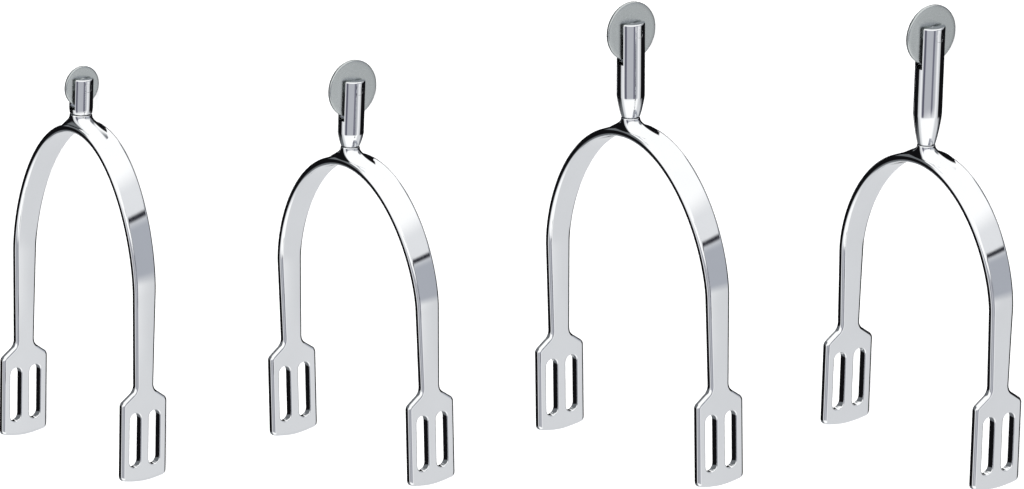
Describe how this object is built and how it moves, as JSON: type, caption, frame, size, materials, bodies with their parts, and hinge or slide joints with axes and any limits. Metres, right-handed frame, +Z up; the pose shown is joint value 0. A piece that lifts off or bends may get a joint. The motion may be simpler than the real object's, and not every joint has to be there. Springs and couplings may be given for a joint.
{
  "type": "spurs",
  "caption": "Set of riding spurs in polished steel: U-shaped heel bands with slotted strap plates, straight necks of stepped length and smooth disc rowels that turn on riveted pins.",
  "frame": {"origin": "under the middle of the set, on the surface that the spurs lie on", "axes": "+X along the row from the shortest neck to the longest, +Y towards the rowels, +Z up, along the width of the heel bands"},
  "size_m": [0.558, 0.2788, 0.0209],
  "materials": {
    "polished_steel": "mirror polished stainless steel",
    "satin_steel": "satin, turned face",
    "pin_steel": "polished rivet, heads flush"
  },
  "bodies": {
    "spur_1": {"spur_1_heel_band": "polished_steel", "spur_1_neck": "polished_steel", "spur_1_rowel_pin": "pin_steel"},
    "rowel_1": {"spur_1_rowel_disc": "satin_steel"},
    "spur_2": {"spur_2_heel_band": "polished_steel", "spur_2_neck": "polished_steel", "spur_2_rowel_pin": "pin_steel"},
    "rowel_2": {"spur_2_rowel_disc": "satin_steel"},
    "spur_3": {"spur_3_heel_band": "polished_steel", "spur_3_neck": "polished_steel", "spur_3_rowel_pin": "pin_steel"},
    "rowel_3": {"spur_3_rowel_disc": "satin_steel"},
    "spur_4": {"spur_4_heel_band": "polished_steel", "spur_4_neck": "polished_steel", "spur_4_rowel_pin": "pin_steel"},
    "rowel_4": {"spur_4_rowel_disc": "satin_steel"}
  },
  "joints": [
    {"name": "rowel_1_spin", "type": "hinge", "parent": "spur_1", "child": "rowel_1", "pos_m": [-0.24156, 0.00016, 0.00739], "axis": [1, 0.0087, 0], "continuous": true},
    {"name": "spur_2_lift", "type": "slide", "parent": "spur_1", "child": "spur_2", "axis": [0, 0, 1], "range_m": [0, 0.15]},
    {"name": "rowel_2_spin", "type": "hinge", "parent": "spur_2", "child": "rowel_2", "pos_m": [-0.07638, 0.03753, 0.0103], "axis": [0.9998, 0.0175, 0], "continuous": true},
    {"name": "spur_3_lift", "type": "slide", "parent": "spur_1", "child": "spur_3", "axis": [0, 0, 1], "range_m": [0, 0.15]},
    {"name": "rowel_3_spin", "type": "hinge", "parent": "spur_3", "child": "rowel_3", "pos_m": [0.08146, 0.0941, 0.0103], "axis": [0.9998, 0.0175, 0], "continuous": true},
    {"name": "spur_4_lift", "type": "slide", "parent": "spur_1", "child": "spur_4", "axis": [0, 0, 1], "range_m": [0, 0.15]},
    {"name": "rowel_4_spin", "type": "hinge", "parent": "spur_4", "child": "rowel_4", "pos_m": [0.24199, 0.12908, 0.0103], "axis": [0.999, -0.0436, 0], "continuous": true}
  ]
}
